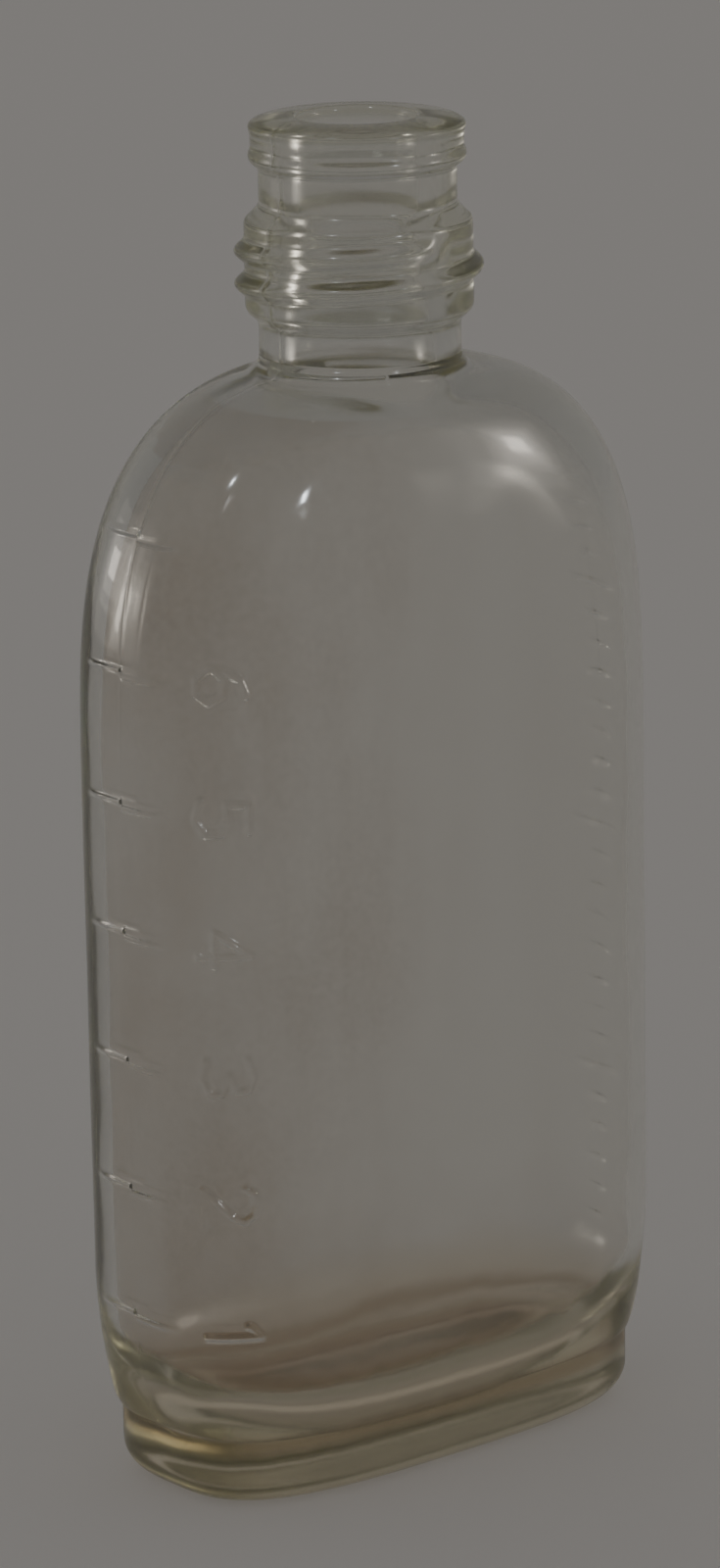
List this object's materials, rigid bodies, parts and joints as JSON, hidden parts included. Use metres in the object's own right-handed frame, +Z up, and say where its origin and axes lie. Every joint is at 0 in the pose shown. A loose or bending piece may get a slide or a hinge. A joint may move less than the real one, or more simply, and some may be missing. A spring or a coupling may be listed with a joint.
{
  "type": "medicine bottle",
  "caption": "Oval clear glass prescription bottle with a stepped thick base, rounded shoulders, a screw finish and raised measuring marks on both narrow ends.",
  "frame": {"origin": "centre of the base, on the surface that the bottle stands on", "axes": "+Z up along the neck's axis, X along the width with the tablespoon marks at -X, Y along the depth with the front wide face at -Y"},
  "size_m": [0.0608, 0.0294, 0.132],
  "materials": {
    "clear_glass": "gloss"
  },
  "bodies": {
    "root": {"neck_finish": "clear_glass", "front_half": "clear_glass", "back_half": "clear_glass", "bottom_plate": "clear_glass", "tablespoon_marks": "clear_glass", "dram_marks": "clear_glass"}
  },
  "joints": []
}
